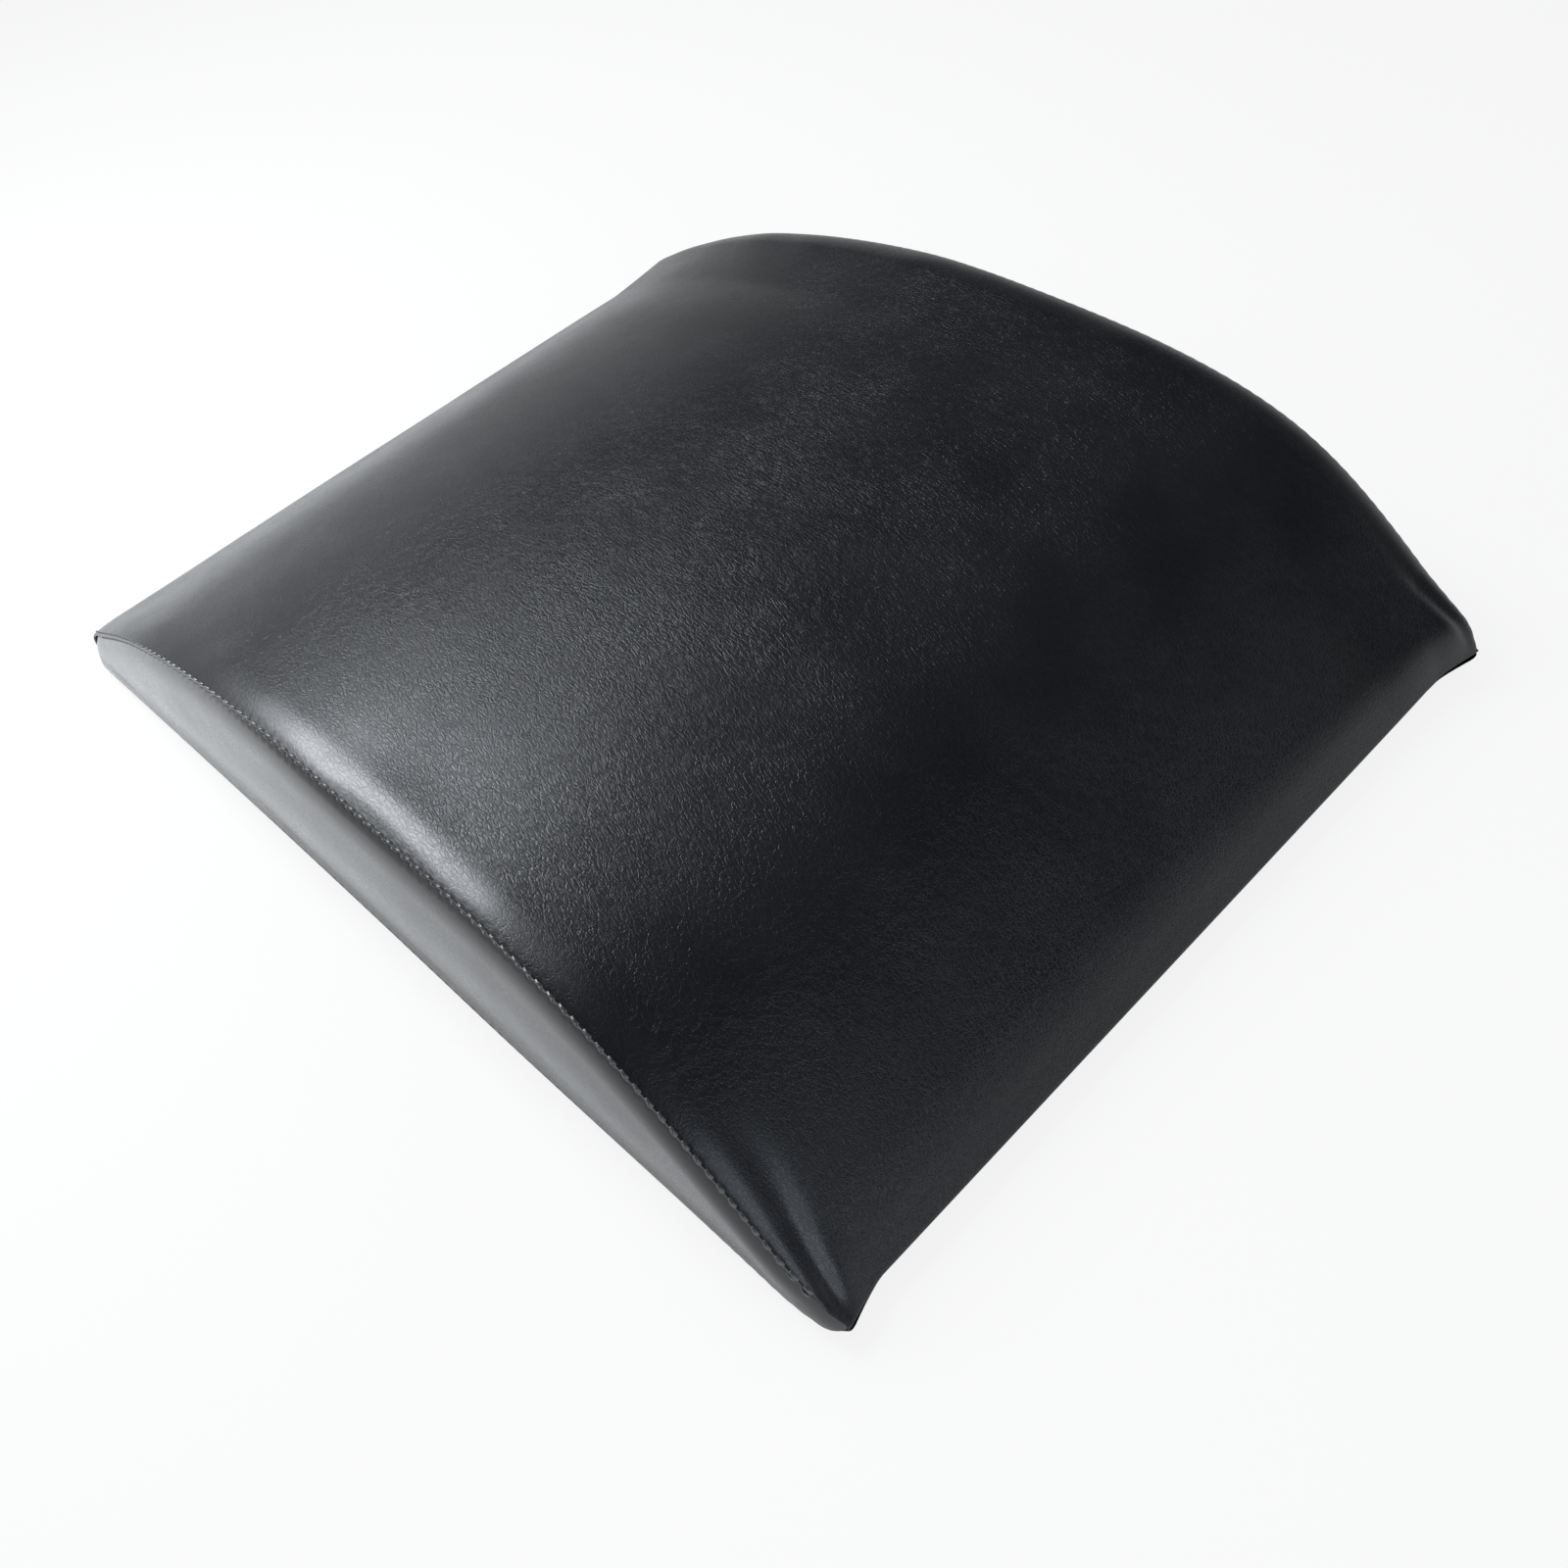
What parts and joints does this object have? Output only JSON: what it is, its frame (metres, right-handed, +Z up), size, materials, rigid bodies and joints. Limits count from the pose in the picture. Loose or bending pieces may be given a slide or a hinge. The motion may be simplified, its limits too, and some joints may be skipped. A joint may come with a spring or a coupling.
{
  "type": "sit-up mat",
  "caption": "Arched foam sit-up wedge in a sewn leather-look cover, steep at the thin front edge and gentle to the back, flat underneath with a zip that opens the cover.",
  "frame": {"origin": "on the floor, at the middle of the mat's outline seen from above", "axes": "+X across the width, +Y from the thin front edge to the back end, +Z up; as seen facing +Y, left is -X"},
  "size_m": [0.3, 0.386, 0.075],
  "materials": {
    "foam": "matt closed-cell foam",
    "top_leather": "semi-gloss black leather-look with a fine grain",
    "side_leather": "semi-gloss black leather-look with a fine grain",
    "base_leather": "satin black leather-look",
    "zip_cloth": "matt woven tape",
    "zip_nylon": "satin nylon",
    "zip_metal": "dark nickel plate"
  },
  "bodies": {
    "mat": {"foam_core": "foam", "top_panel": "top_leather", "side_panel_left": "side_leather", "side_panel_right": "side_leather", "bottom_panel_front": "base_leather", "bottom_panel_back": "base_leather", "zip_tape_front": "zip_cloth", "zip_tape_back": "zip_cloth", "zip_coil_front": "zip_nylon", "zip_coil_back": "zip_nylon", "zip_top_stop_front": "zip_metal", "zip_top_stop_back": "zip_metal", "zip_bottom_stop": "zip_metal"},
    "slider": {"zip_slider": "zip_metal"},
    "pull_tab": {"zip_pull_tab": "zip_metal"}
  },
  "joints": [
    {"name": "zip_slide", "type": "slide", "parent": "mat", "child": "slider", "axis": [-1, 0, 0], "range_m": [0, 0.2029], "deforming": ["zip_coil_front", "zip_coil_back"]},
    {"name": "pull_tab_hinge", "type": "hinge", "parent": "slider", "child": "pull_tab", "pos_m": [0.10145, 0.12, 0.0024], "axis": [0, -1, 0], "range_deg": [0, 170]}
  ]
}
